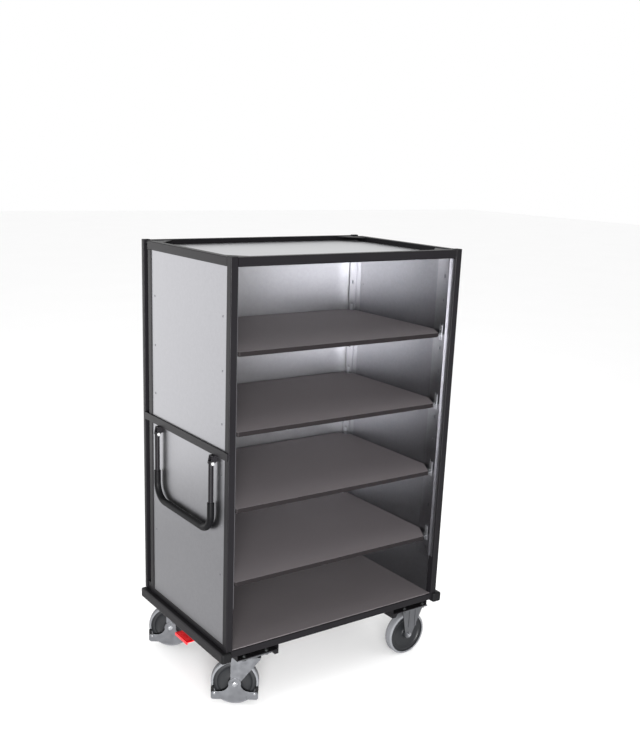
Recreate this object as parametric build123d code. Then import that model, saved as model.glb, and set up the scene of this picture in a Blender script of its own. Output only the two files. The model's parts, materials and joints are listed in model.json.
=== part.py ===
from build123d import *
import os
from math import cos, radians, sin

os.makedirs("parts", exist_ok=True)

# Shelf trolley. Millimetres, +Z up, origin on the floor under the middle of the frame.
# X runs along the length, the open front faces -Y, and the push handle is on the -X end.
# "Inset" is a distance in from an end face, "behind" a distance back from the front face.

# Overall size of the frame, without bumpers, handle and caps
length = 1090.0
depth = 714.0
height = 1810.0

# Frame tubes
tube = 30.0
tube_wall = 1.5
tube_corner = 3.0
top_rail_height = 34.0
back_tube = 20.0
frame_gap = 36.0
crossbar_height = 30.0
crossbar_gap = 56.0
crossbar_proud = 5.0
crossbar_setback = 3.0
crossbar_overlap = 4.0
sill_height = 21.0
cap_plate = 2.0
cap_plug = 12.0
cap_play = 0.2

# Base
base_back_gap = 16.0
base_rail_height = 30.0
end_bar_width = 44.0
end_bar_height = 43.0
end_bar_wall = 2.5
end_bar_corner = 7.0
end_bar_reach = 23.0
bumper_length = 13.0
bumper_corner = 9.0
bumper_plug = 20.0
channel_width = 195.0
channel_height = 22.0
channel_inset = 51.0
channel_wall = 3.0
channel_lug = 17.0
channel_lug_top = 30.0
channel_lug_foot = 18.0

# Sheet metal
panel_sheet = 1.5
panel_recess = 3.0
lining_sheet = 1.5
back_panel_recess = 2.5
top_panel_drop = 21.0
deck_sheet = 2.5
deck_side_gap = 0.5
deck_setback = 6.0
deck_back_gap = 8.0

# Shelves
shelf_board = 18.0
shelf_setback = 9.0
shelf_back_gap = 12.0
shelf_side_inset = 34.5
shelf_corner_inset = 47.0
shelf_corner_depth = 5.0
shelf_front_inset = 42.0
shelf_cut_inset = 90.0
shelf_cut_depth = 91.0
shelf_notch_inset = 60.0
shelf_notch_clear = 6.0

# Slotted standards on the inner walls, and the clips that hang in them
standard_sheet = 1.5
standard_setback = 9.0
standard_lap = 18.0
standard_lip = 6.0
standard_step = 7.0
standard_web = 45.0
standard_flange = 29.0
standard_back_gap = 2.0
standard_top_gap = 4.0
standard_length = 1310.0
slot_width = 10.0
slot_height = 16.0
slot_from_step = 23.0
slot_first = 112.0
slot_pitch = 100.0
slot_count = 13
shelf_slots = (2, 5, 8, 11)
clip_sheet = 2.0
clip_width = 16.0
clip_drop = 44.0
clip_overlap = 16.0
clip_above = 4.0
clip_below = 22.0
clip_hook_play = 0.5
clip_hook_reach = 3.0
clip_hook_drop = 6.0

# Long rivets through the outer and the inner sheet of the end walls
rivet_radius = 2.0
rivet_head_radius = 4.0
rivet_head = 1.6
rivet_play = 0.1
rivet_from_post = 27.0
rivet_first = 213.0
rivet_pitch = 200.0
rivet_count = 6
rivet_clear = 5.0

# Corner gussets, and the links between the end frames and the back frame
gusset_leg = 95.0
gusset_sheet = 4.0
gusset_tip = 6.0
gusset_drop = 3.0
link_radius = 4.0
link_nut_radius = 7.0
link_nut = 8.0
link_drops = (9.0, 26.0)
foot_link_width = 20.0
foot_link_height = 34.0

# Push handle
handle_reach = 16.0
handle_setback = 102.0
handle_span = 450.0
handle_drop = 278.0
grip_rise = 120.0
bail_radius = 10.0
bail_wall = 2.0
bail_bend = 70.0
bail_stub = 9.0
grip_radius = 14.0
grip_play = 0.05
bracket_height = 24.0
bracket_sheet = 3.0
bracket_cheek = 2.5
bracket_gap = 21.0
bracket_nose = 2.0
bracket_round = 8.0
pivot_drop = 6.0
pin_radius = 4.0
pin_play = 0.05
pin_cap_radius = 7.0
pin_cap = 5.0
pin_cap_round = 3.0
pin_head_radius = 6.0
pin_head = 3.0

# Castors
castor_head = 39.0
castor_setback = 55.0
castor_back_inset = 78.0
wheel_radius = 98.0
wheel_centre_radius = 84.0
tyre_width = 40.0
tyre_round = 8.0
tyre_play = 0.05
web_width = 22.0
rim_width = 34.0
rim_depth = 12.0
hub_radius = 22.0
hub_play = 0.5
axle_radius = 6.0
axle_play = 0.05
axle_head_radius = 8.5
axle_head = 6.0
fork_gap = 54.0
fork_sheet = 4.0
fork_leg = 35.0
fork_nose = 46.0
crown_sheet = 5.0
plate_length = 140.0
plate_width = 110.0
plate_sheet = 5.0
race_radius = 44.0
upper_race = 6.2
race_gap = 0.3
lower_race = 7.5
kingpin_radius = 8.0
kingpin_play = 0.05
kingpin_nut_radius = 14.0
kingpin_nut = 6.0
trail = 58.0
swivel_rest = -34.0
swivel_inset = 144.0
fixed_inset = 123.0
fixed_plate_offset = 8.0
fixed_top_front = 43.0
fixed_top_back = 78.0
fixed_foot = 36.0
fixed_rib = 2.5
fixed_rib_width = 9.0
fixed_rib_spacing = 34.0
bolt_radius = 5.0
bolt_play = 0.1
bolt_head_radius = 8.5
bolt_head = 6.0
bolt_length_spread = 105.0
bolt_width_spread = 80.0

# Foot guards on the swivel castors
guard_sheet = 2.0
guard_half_length = 96.0
guard_shoulder = 35.0
guard_foot = 70.0
guard_corner = 10.0
guard_dome = 26.0
guard_waist = 60.0
guard_belly = 12.0
guard_belly_half = 45.0
pad_length = 12.0
pad_top = 14.0
pad_bottom = 50.0
pad_play = 1.0
guard_rivet_radius = 4.0
guard_rivet_head = 1.5
guard_rivet_spread = 82.0
guard_rivet_drop = 44.0

# Central brake
shaft_radius = 7.0
shaft_play = 0.05
shaft_inset = 60.0
shaft_drop = 14.0
shaft_end_gap = 10.0
pedal_length = 104.0
pedal_reach = 70.0
pedal_width = 55.0
pedal_sheet = 4.0
pedal_drop = 25.0
pedal_lip = 12.0
pedal_eye = 12.0
hanger_sheet = 5.0
hanger_width = 26.0
hanger_gap = 3.0
hanger_foot = 12.0

half_length = length / 2
half_depth = depth / 2
side_depth = depth - back_tube - frame_gap
base_depth = depth - base_back_gap
castor_height = 2 * wheel_radius + castor_head
channel_bottom = castor_height
channel_top = channel_bottom + channel_height
base_top = channel_top + base_rail_height
end_bar_bottom = base_top - end_bar_height
sill_top = base_top + sill_height
rail_bottom = height - top_rail_height
second_shelf = height - slot_first - shelf_slots[1] * slot_pitch - clip_drop
crossbar_top = second_shelf - crossbar_gap
crossbar_bottom = crossbar_top - crossbar_height
side_back = side_depth - tube
back_front = depth - back_tube
end_bar_inner = end_bar_width - end_bar_reach
panel_inner = panel_recess + panel_sheet
lining_inner = tube + lining_sheet
back_sheet_front = back_front + back_panel_recess
web_inset = tube + standard_step
web_start = standard_setback + standard_lap
standard_end = web_start + standard_web
slot_behind = web_start + slot_from_step
rivet_behind = tube + rivet_from_post
top_panel_top = height - top_panel_drop
bracket_bottom = crossbar_bottom - bracket_height
pivot_height = bracket_bottom - pivot_drop
grip_height = pivot_height - handle_drop
castor_rear = base_depth - castor_back_inset
plate_bottom = castor_height - plate_sheet
crown_top = plate_bottom - upper_race - race_gap - lower_race
fork_half = fork_gap / 2 + fork_sheet
guard_half = fork_half + guard_sheet
shaft_height = channel_bottom - shaft_drop


def x_at(inset):
    """X of a plane this far in from the left end face."""
    return inset - half_length


def y_at(behind):
    """Y of a plane this far back from the front face."""
    return behind - half_depth


def block(x, y, z):
    """A box between two X, two Y and two Z values."""
    size = [abs(pair[1] - pair[0]) for pair in (x, y, z)]
    centre = [(pair[0] + pair[1]) / 2 for pair in (x, y, z)]
    return Pos(*centre) * Box(*size)


def placed(inset, behind, z):
    """A box given by insets, distances behind the front face, and heights."""
    return block([x_at(i) for i in inset], [y_at(b) for b in behind], z)


def hollow(inset, behind, z, along, wall=tube_wall, corner=tube_corner):
    """A rectangular tube, open at both ends, running along one axis."""
    outer = placed(inset, behind, z)
    outer = fillet(outer.edges().filter_by(along), corner)
    spans = {Axis.X: inset, Axis.Y: behind, Axis.Z: z}
    inner = {}
    for axis, span in spans.items():
        shrink = 0 if axis == along else wall
        inner[axis] = (span[0] + shrink, span[1] - shrink)
    return outer - placed(inner[Axis.X], inner[Axis.Y], inner[Axis.Z])


def rod_x(start, radius, run):
    return extrude(Plane(start, x_dir=(0, 1, 0), z_dir=(1, 0, 0)) * Circle(radius), run)


def rod_y(start, radius, run):
    return extrude(Plane(start, x_dir=(1, 0, 0), z_dir=(0, 1, 0)) * Circle(radius), run)


def rod_z(start, radius, run):
    return extrude(Plane(start, x_dir=(1, 0, 0), z_dir=(0, 0, 1)) * Circle(radius), run)


def on_right(shape):
    """The same piece on the right end."""
    return mirror(shape, about=Plane.YZ)


def to_rear(shape):
    """The same standard or clip, mirrored to the rear end of the inner wall."""
    middle = y_at((web_start + back_front - standard_back_gap) / 2)
    return mirror(shape, about=Plane.XZ.offset(-middle))


def gather(shapes):
    """Separate solids of one node."""
    return Compound(children=[solid for shape in shapes for solid in shape.solids()])


def save(name, shape):
    export_step(shape, f"parts/{name}.step")


# Frame


def corner_posts():
    front = hollow((0, tube), (0, tube), (base_top, height), Axis.Z)
    rear = hollow((0, tube), (side_back, side_depth), (base_top, rail_bottom), Axis.Z)
    save("post_front_left", front)
    save("post_front_right", on_right(front))
    save("post_rear_left", rear)
    save("post_rear_right", on_right(rear))


def back_posts():
    post = hollow((0, tube), (back_front, depth), (base_top, height), Axis.Z)
    save("back_posts", gather([post, on_right(post)]))


def top_rails():
    rail_z = (rail_bottom, height)
    side = hollow((0, tube), (tube, side_depth), rail_z, Axis.Y)
    across = (tube, length - tube)
    save("top_rail_left", side)
    save("top_rail_right", on_right(side))
    save("top_rail_front", hollow(across, (0, tube), rail_z, Axis.X))
    save("top_rail_rear", hollow(across, (back_front, depth), rail_z, Axis.X))


def side_bars():
    between = (tube, side_back)
    bar_z = (crossbar_bottom, crossbar_top)
    over_posts = (crossbar_setback, back_front + crossbar_overlap)
    plate = placed((-crossbar_proud, 0), over_posts, bar_z)
    save("side_crossbar", hollow((0, tube), between, bar_z, Axis.Y) + plate)
    sill = hollow((0, tube), between, (base_top, sill_top), Axis.Y)
    save("side_sills", gather([sill, on_right(sill)]))


def tube_caps():
    """Plugs in the upper ends of the posts and in the rear ends of the side rails."""
    edge = tube_wall + cap_play
    caps = []
    for front, back in ((0, tube), (back_front, depth)):
        plug_y = (front + edge, back - edge)
        plug = placed((edge, tube - edge), plug_y, (height - cap_plug, height))
        plate = placed((0, tube), (front, back), (height, height + cap_plate))
        plate = fillet(plate.edges().filter_by(Axis.Z), tube_corner)
        caps.append(plug + plate)
    plug_z = (rail_bottom + edge, height - edge)
    plug = placed((edge, tube - edge), (side_depth - cap_plug, side_depth), plug_z)
    plate_y = (side_depth, side_depth + cap_plate)
    plate = placed((0, tube), plate_y, (rail_bottom, height))
    plate = fillet(plate.edges().filter_by(Axis.Y), tube_corner)
    caps.append(plug + plate)
    save("tube_caps", gather(caps + [on_right(cap) for cap in caps]))


def corner_gussets():
    """Flat triangular plates let into the four upper corners."""
    top = height - gusset_drop
    gussets = []
    for corner, turn in ((tube, 1), (back_front, -1)):
        outline = [
            (x_at(tube), y_at(corner)),
            (x_at(tube + gusset_leg), y_at(corner)),
            (x_at(tube + gusset_leg), y_at(corner + turn * gusset_tip)),
            (x_at(tube + gusset_tip), y_at(corner + turn * gusset_leg)),
            (x_at(tube), y_at(corner + turn * gusset_leg)),
        ]
        face = make_face(Polyline(*outline, close=True))
        plate = extrude(Pos(0, 0, top - gusset_sheet) * face, gusset_sheet, dir=(0, 0, 1))
        gussets.append(plate)
    save("corner_gussets", gather(gussets + [on_right(plate) for plate in gussets]))


def frame_links():
    """Studs with nuts, and foot blocks, across the gap in front of the back frame."""
    start = side_depth + cap_plate
    run = back_front - start
    links = []
    for drop in link_drops:
        stud = rod_y((x_at(tube / 2), y_at(start), height - drop), link_radius, run)
        nut_start = y_at(start + (run - link_nut) / 2)
        nut = rod_y((x_at(tube / 2), nut_start, height - drop), link_nut_radius, link_nut)
        links.append(stud + nut)
    save("frame_links", gather(links + [on_right(link) for link in links]))
    side = (tube - foot_link_width) / 2
    foot_z = (base_top, base_top + foot_link_height)
    foot = placed((side, tube - side), (side_depth, back_front), foot_z)
    save("foot_links", gather([foot, on_right(foot)]))


def base_frame():
    bar = hollow((-end_bar_reach, end_bar_inner), (0, base_depth), (end_bar_bottom, base_top),
                 Axis.Y, end_bar_wall, end_bar_corner)
    save("end_bars", gather([bar, on_right(bar)]))
    across = (end_bar_inner, length - end_bar_inner)
    rail_z = (channel_top, base_top)
    front = hollow(across, (0, tube), rail_z, Axis.X)
    rear = hollow(across, (base_depth - tube, base_depth), rail_z, Axis.X)
    save("base_rails", gather([front, rear]))


def bumper_caps():
    """Rounded plugs on the four ends of the end bars."""
    edge = end_bar_wall + cap_play
    middle = y_at(base_depth / 2)
    cap_z = (end_bar_bottom, base_top)
    cap = placed((-end_bar_reach, end_bar_inner), (-bumper_length, 0), cap_z)
    cap = fillet(cap.edges().filter_by(Axis.Y), end_bar_corner)
    cap = fillet(cap.faces().sort_by(Axis.Y)[0].edges(), bumper_corner)
    plug_z = (end_bar_bottom + edge, base_top - edge)
    plug = placed((edge - end_bar_reach, end_bar_inner - edge), (0, bumper_plug), plug_z)
    plug = fillet(plug.edges().filter_by(Axis.Y), end_bar_corner - edge / 2)
    front = cap + plug
    rear = mirror(front, about=Plane.XZ.offset(-middle))
    save("bumper_caps", gather([front, rear, on_right(front), on_right(rear)]))


def bolt_places(centre_x, centre_y):
    """The four bolt places round the middle of a castor plate."""
    places = []
    for side in (-1, 1):
        for end in (-1, 1):
            x = centre_x + side * bolt_length_spread / 2
            y = centre_y + end * bolt_width_spread / 2
            places.append((x, y))
    return places


def castor_lines():
    return (y_at(castor_setback), y_at(castor_rear))


def plate_centres(left):
    """Middles of the two castor plates under one end of the base."""
    x = x_at(swivel_inset) if left else fixed_plate_offset - x_at(fixed_inset)
    return [(x, y) for y in castor_lines()]


def castor_channels():
    """Shallow channels across the base, open upwards, that carry the castors."""
    start = channel_inset
    end = channel_inset + channel_width
    z = (channel_bottom, channel_top)
    shape = placed((start, end), (0, base_depth), z)
    inside = (start + channel_wall, end - channel_wall)
    shape -= placed(inside, (0, base_depth), (channel_bottom + channel_wall, channel_top))
    lug_foot = channel_bottom - channel_lug
    lug = [
        (x_at(end - channel_lug_top), channel_bottom),
        (x_at(end), channel_bottom),
        (x_at(end), lug_foot),
        (x_at(end - channel_lug_foot), lug_foot),
    ]
    plane = Plane((0, y_at(base_depth), 0), x_dir=(1, 0, 0), z_dir=(0, -1, 0))
    shape += extrude(plane * make_face(Polyline(*lug, close=True)), base_depth)
    left = shape
    right = on_right(shape)
    drill_z = channel_bottom - channel_wall
    for x, y in plate_centres(True):
        for place in bolt_places(x, y):
            left -= rod_z((*place, drill_z), bolt_radius + bolt_play, 3 * channel_wall)
    for x, y in plate_centres(False):
        for place in bolt_places(x, y):
            right -= rod_z((*place, drill_z), bolt_radius + bolt_play, 3 * channel_wall)
    save("castor_channels", gather([left, right]))


# Sheet metal


def rivet_heights(left):
    """Heights of the rivets, left out where the crossbar is in the way."""
    heights = []
    for count in range(rivet_count):
        z = height - rivet_first - count * rivet_pitch
        near = rivet_head_radius + rivet_clear
        blocked = crossbar_bottom - near < z < crossbar_top + near
        if not (left and blocked):
            heights.append(z)
    return heights


def rivet_holes(left):
    """Drillings through the outer and the inner sheet of an end wall, on the left end."""
    holes = []
    for z in rivet_heights(left):
        for behind in (rivet_behind, side_depth - rivet_behind):
            start = (x_at(0), y_at(behind), z)
            holes.append(rod_x(start, rivet_radius + rivet_play, tube + 2 * lining_sheet))
    return holes


def end_panels():
    sheet = (panel_recess, panel_inner)
    between = (tube, side_back)
    upper = placed(sheet, between, (crossbar_top, rail_bottom)) - rivet_holes(True)
    lower = placed(sheet, between, (sill_top, crossbar_bottom)) - rivet_holes(True)
    whole = placed(sheet, between, (sill_top, rail_bottom)) - rivet_holes(False)
    save("panels_left", gather([upper, lower]))
    save("panel_right", on_right(whole))
    inner = placed((tube, lining_inner), (tube, back_sheet_front), (base_top, rail_bottom))
    left = inner - rivet_holes(True)
    right = inner - rivet_holes(False)
    save("wall_linings", gather([left, on_right(right)]))


def flat_panels():
    across = (tube, length - tube)
    back = (back_sheet_front, back_sheet_front + panel_sheet)
    save("panel_rear", placed(across, back, (base_top, rail_bottom)))
    top_z = (top_panel_top - panel_sheet, top_panel_top)
    save("top_panel", placed(across, (tube, back_front), top_z))
    deck_x = (lining_inner + deck_side_gap, length - lining_inner - deck_side_gap)
    deck_y = (deck_setback, base_depth - deck_back_gap)
    save("deck", placed(deck_x, deck_y, (base_top, base_top + deck_sheet)))


# Standards, clips and shelves


def slot_height_at(index):
    return height - slot_first - index * slot_pitch


def slotted_web(start):
    """The web of a standard with its two sides and a flange on the inner wall."""
    top = rail_bottom - standard_top_gap
    z = (top - standard_length, top)
    gauge = standard_sheet
    face = web_inset + gauge
    shape = placed((web_inset, face), (web_start, standard_end), z)
    shape += placed((start, face), (web_start, web_start + gauge), z)
    shape += placed((lining_inner, face), (standard_end - gauge, standard_end), z)
    flange = (standard_end - gauge, standard_end + standard_flange)
    shape += placed((lining_inner, lining_inner + gauge), flange, z)
    for index in range(slot_count):
        middle = slot_height_at(index)
        slot_y = (slot_behind - slot_width / 2, slot_behind + slot_width / 2)
        slot_z = (middle - slot_height / 2, middle + slot_height / 2)
        shape -= placed((web_inset - gauge, face + gauge), slot_y, slot_z)
    return shape


def front_standard():
    """A slotted web that goes on over the post with a lap and a lip."""
    top = rail_bottom - standard_top_gap
    z = (top - standard_length, top)
    gauge = standard_sheet
    lap = (standard_setback, web_start + gauge)
    shape = slotted_web(tube) + placed((tube, tube + gauge), lap, z)
    lip = (standard_setback, standard_setback + gauge)
    return shape + placed((tube, tube + standard_lip), lip, z)


def standards():
    pair = [front_standard(), to_rear(slotted_web(lining_inner))]
    save("standards_left", gather(pair))
    save("standards_right", gather([on_right(piece) for piece in pair]))


def rivets(left):
    """Rivets with one head outside the end wall and one inside it."""
    pieces = []
    outside = panel_recess
    inside = lining_inner
    for z in rivet_heights(left):
        for behind in (rivet_behind, side_depth - rivet_behind):
            y = y_at(behind)
            rivet = rod_x((x_at(outside), y, z), rivet_radius, inside - outside)
            rivet += rod_x((x_at(outside - rivet_head), y, z), rivet_head_radius, rivet_head)
            rivet += rod_x((x_at(inside), y, z), rivet_head_radius, rivet_head)
            pieces.append(rivet)
    return pieces


def all_rivets():
    save("standard_rivets", gather(rivets(True) + [on_right(rivet) for rivet in rivets(False)]))


def clip(index):
    """A sheet clip: a hook through the slot, a plate down the web, a tongue for the shelf."""
    slot = slot_height_at(index)
    face = web_inset + standard_sheet
    wide = (slot_behind - clip_width / 2, slot_behind + clip_width / 2)
    narrow_half = slot_width / 2 - clip_hook_play
    narrow = (slot_behind - narrow_half, slot_behind + narrow_half)
    rest = slot - slot_height / 2
    tongue_top = slot - clip_drop
    plate_z = (tongue_top - clip_below, rest + clip_sheet + clip_above)
    shape = placed((face, face + clip_sheet), wide, plate_z)
    tongue_x = (face, shelf_notch_inset + clip_overlap)
    shape += placed(tongue_x, wide, (tongue_top - clip_sheet, tongue_top))
    hook_end = web_inset - clip_hook_reach
    shape += placed((hook_end, face), narrow, (rest, rest + clip_sheet))
    lip_z = (rest - clip_hook_drop, rest + clip_sheet)
    shape += placed((hook_end, web_inset - clip_hook_play), narrow, lip_z)
    return shape


def clips():
    pieces = []
    for index in shelf_slots:
        front = clip(index)
        rear = to_rear(front)
        pieces += [front, rear, on_right(front), on_right(rear)]
    save("shelf_clips", gather(pieces))


def shelf(index):
    """A board that passes the standards by notches, and by an angled corner at the front right."""
    underside = slot_height_at(index) - clip_drop
    notch_front = standard_end + shelf_notch_clear
    notch_back = web_start + back_front - standard_back_gap - notch_front
    left = [
        (shelf_corner_inset, shelf_setback),
        (shelf_front_inset, shelf_setback + shelf_corner_depth),
        (shelf_front_inset, notch_front),
        (shelf_side_inset, notch_front),
        (shelf_side_inset, notch_back),
        (shelf_notch_inset, notch_back),
        (shelf_notch_inset, back_front - shelf_back_gap),
    ]
    cut = [(shelf_side_inset, shelf_setback + shelf_cut_depth), (shelf_cut_inset, shelf_setback)]
    right = [(length - inset, behind) for inset, behind in left[:3:-1] + cut]
    outline = [(x_at(inset), y_at(behind)) for inset, behind in left + right]
    face = make_face(Polyline(*outline, close=True))
    return extrude(Pos(0, 0, underside) * face, shelf_board, dir=(0, 0, 1))


def shelves():
    for number, index in enumerate(shelf_slots, start=1):
        save(f"shelf_{number}", shelf(index))


# Push handle


def handle_legs():
    return (y_at(handle_setback), y_at(handle_setback + handle_span))


def clevis(y):
    """A sheet fork under the crossbar, flat on the outer sheet of the end wall."""
    wall_x = x_at(panel_recess)
    pivot_x = x_at(0) - handle_reach
    nose = pivot_x - bracket_nose
    half = bracket_gap / 2 + bracket_cheek
    outline = [
        (wall_x, crossbar_bottom),
        (nose, crossbar_bottom),
        (pivot_x - bracket_round, pivot_height),
        (pivot_x + bracket_round, pivot_height),
        (wall_x - bracket_sheet, bracket_bottom),
        (wall_x, bracket_bottom),
    ]
    eye = Pos(pivot_x, pivot_height) * Circle(bracket_round)
    side = make_face(Polyline(*outline, close=True)) + eye
    plane = Plane((0, y + half, 0), x_dir=(1, 0, 0), z_dir=(0, -1, 0))
    gap_x = (nose - 2 * bracket_round, wall_x - bracket_sheet)
    gap_y = (y - bracket_gap / 2, y + bracket_gap / 2)
    gap_z = (pivot_height - 2 * bracket_round, crossbar_bottom - bracket_sheet)
    shape = extrude(plane * side, 2 * half) - block(gap_x, gap_y, gap_z)
    return shape - rod_y((pivot_x, y - half, pivot_height), pin_radius + pin_play, 2 * half)


def clevis_pin(y):
    """A pin with a domed cap at the front and a flat head at the rear."""
    pivot_x = x_at(0) - handle_reach
    half = bracket_gap / 2 + bracket_cheek
    cap = rod_y((pivot_x, y - half - pin_cap, pivot_height), pin_cap_radius, pin_cap)
    cap = fillet(cap.edges().sort_by(Axis.Y)[0], pin_cap_round)
    shank = rod_y((pivot_x, y - half, pivot_height), pin_radius, 2 * half)
    return cap + shank + rod_y((pivot_x, y + half, pivot_height), pin_head_radius, pin_head)


def handle_brackets():
    save("handle_brackets", gather([clevis(y) for y in handle_legs()]))
    save("handle_pins", gather([clevis_pin(y) for y in handle_legs()]))


def bail_path(top):
    """The U that the tube follows, up to this height on both legs."""
    x = x_at(0) - handle_reach
    front, rear = handle_legs()
    corners = [(x, front, top), (x, front, grip_height), (x, rear, grip_height), (x, rear, top)]
    return FilletPolyline(*corners, radius=bail_bend)


def swept(path, radius):
    return sweep(Plane(origin=path @ 0, z_dir=path % 0) * Circle(radius), path=path)


def handle():
    path = bail_path(pivot_height + bail_stub)
    bail = swept(path, bail_radius) - swept(path, bail_radius - bail_wall)
    x = x_at(0) - handle_reach
    for y in handle_legs():
        start = (x, y - 2 * bail_radius, pivot_height)
        bail -= rod_y(start, pin_radius + pin_play, 4 * bail_radius)
    save("handle_bail", bail)
    path = bail_path(grip_height + grip_rise)
    save("handle_grip", swept(path, grip_radius) - swept(path, bail_radius + grip_play))


# Castors. Local frames have X along the rolling direction and Y along the axle.


def turned(shape, y):
    """A swivel castor piece at its rest angle under the left end."""
    return Pos(x_at(swivel_inset), y, 0) * Rot(0, 0, swivel_rest) * shape


def fixed_at(shape, y):
    """A fixed castor piece under the right end."""
    return Pos(-x_at(fixed_inset), y, 0) * shape


def side_sheet(sketch, inner, gauge):
    """A plate standing in the XZ plane on the +Y side, from a sketch of X and height."""
    plane = Plane((0, inner + gauge, 0), x_dir=(1, 0, 0), z_dir=(0, -1, 0))
    return extrude(plane * sketch, gauge)


def both_sides(shape):
    return shape + mirror(shape, about=Plane.XZ)


def axle_hole(x, half, radius):
    return rod_y((x, -half, wheel_radius), radius, 2 * half)


def swivel_fork():
    """Crown with the lower race, and two legs, turning about the origin."""
    rear = trail + fork_leg / 2
    low = trail - fork_leg / 2
    outline = [
        (-rear, crown_top),
        (fork_nose, crown_top),
        (fork_nose, crown_top - crown_sheet),
        (-low, wheel_radius),
        (-rear, wheel_radius),
    ]
    leg = make_face(Polyline(*outline, close=True)) + Pos(-trail, wheel_radius) * Circle(fork_leg / 2)
    shape = both_sides(side_sheet(leg, fork_gap / 2, fork_sheet))
    shape += block((-rear, fork_nose), (-fork_half, fork_half), (crown_top - crown_sheet, crown_top))
    shape += rod_z((0, 0, crown_top), race_radius, lower_race)
    shape -= rod_z((0, 0, crown_top - crown_sheet), kingpin_radius + kingpin_play, crown_sheet + lower_race)
    shape -= axle_hole(-trail, fork_half, axle_radius + axle_play)
    return shape


def top_plate():
    """Drilled plate with the upper race, kingpin and nut, centred on the swivel axis."""
    half_x = plate_length / 2
    half_y = plate_width / 2
    shape = block((-half_x, half_x), (-half_y, half_y), (plate_bottom, castor_height))
    shape += rod_z((0, 0, plate_bottom - upper_race), race_radius, upper_race)
    pin_end = crown_top - crown_sheet - race_gap - kingpin_nut
    shape += rod_z((0, 0, pin_end), kingpin_radius, plate_bottom - pin_end)
    shape += rod_z((0, 0, pin_end), kingpin_nut_radius, kingpin_nut)
    for x, y in bolt_places(0, 0):
        shape -= rod_z((x, y, plate_bottom), bolt_radius + bolt_play, plate_sheet)
    return shape


def guard_plate():
    """Bell-shaped plate with a dome round the axle and a wing at each end."""
    corner = guard_corner
    slant = corner * (1 - cos(radians(45)))
    dome_low = (guard_dome * cos(radians(18)), -guard_dome * sin(radians(18)))
    dome_mid = (guard_dome * cos(radians(36)), guard_dome * sin(radians(36)))
    waist = (guard_waist, -guard_shoulder)
    bend = ((dome_low[0] + waist[0]) / 2 - 5, (dome_low[1] + waist[1]) / 2 - 5)
    end = guard_half_length
    right = [
        ThreePointArc((0, guard_dome), dome_mid, dome_low),
        ThreePointArc(dome_low, bend, waist),
        Line(waist, (end - corner, -guard_shoulder)),
        ThreePointArc((end - corner, -guard_shoulder), (end - slant, -guard_shoulder - slant),
                      (end, -guard_shoulder - corner)),
        Line((end, -guard_shoulder - corner), (end, corner - guard_foot)),
        ThreePointArc((end, corner - guard_foot), (end - slant, slant - guard_foot),
                      (end - corner, -guard_foot)),
        Line((end - corner, -guard_foot), (guard_belly_half, -guard_foot)),
    ]
    left = [mirror(edge, about=Plane.YZ) for edge in right]
    belly = ThreePointArc((guard_belly_half, -guard_foot), (0, -guard_foot - guard_belly),
                          (-guard_belly_half, -guard_foot))
    return make_face(Wire([edge for part in right + left + [belly] for edge in part.edges()]))


def foot_guard():
    """The two guard plates of one swivel castor, with the heads of their rivets."""
    sketch = Pos(-trail, wheel_radius) * guard_plate()
    plate = side_sheet(sketch, fork_half, guard_sheet)
    for side in (-1, 1):
        start = (side * guard_rivet_spread - trail, guard_half, wheel_radius - guard_rivet_drop)
        plate += rod_y(start, guard_rivet_radius, guard_rivet_head)
    plate -= axle_hole(-trail, guard_half + guard_sheet, axle_radius + axle_play)
    return both_sides(plate)


def guard_pads():
    """Blocks between the wings of the guard plates and the sides of the tyre."""
    pads = []
    near = tyre_width / 2 + pad_play
    for side in (-1, 1):
        outer = side * guard_half_length - trail
        inner = side * (guard_half_length - pad_length) - trail
        z = (wheel_radius - pad_bottom, wheel_radius - pad_top)
        pads.append(block((inner, outer), (near, fork_half), z))
        pads.append(block((inner, outer), (-fork_half, -near), z))
    return gather(pads)


def axle(x, half):
    shape = axle_hole(x, half, axle_radius)
    for start in (half, -half - axle_head):
        shape += rod_y((x, start, wheel_radius), axle_head_radius, axle_head)
    return shape


def ring(outline, x):
    """A turned piece from an outline of widths and radii, on the axle at x."""
    face = make_face(Polyline(*outline, close=True))
    plane = Plane((x, 0, wheel_radius), x_dir=(0, 1, 0), z_dir=(1, 0, 0))
    return revolve(plane * face, axis=Axis((x, 0, wheel_radius), (0, 1, 0)))


def wheel_centre(x):
    hub = fork_gap / 2 - hub_play
    web = web_width / 2
    rim = rim_width / 2
    bore = axle_radius + axle_play
    rim_inner = wheel_centre_radius - rim_depth
    outline = [
        (-hub, bore), (hub, bore), (hub, hub_radius), (web, hub_radius), (web, rim_inner),
        (rim, rim_inner), (rim, wheel_centre_radius), (-rim, wheel_centre_radius),
        (-rim, rim_inner), (-web, rim_inner), (-web, hub_radius), (-hub, hub_radius),
    ]
    return ring(outline, x)


def tyre(x):
    half = tyre_width / 2
    inner = wheel_centre_radius + tyre_play
    shape = ring([(-half, inner), (half, inner), (half, wheel_radius), (-half, wheel_radius)], x)
    tread = shape.edges().filter_by(GeomType.CIRCLE).sort_by(lambda edge: edge.radius)[-2:]
    return fillet(tread, tyre_round)


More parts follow.
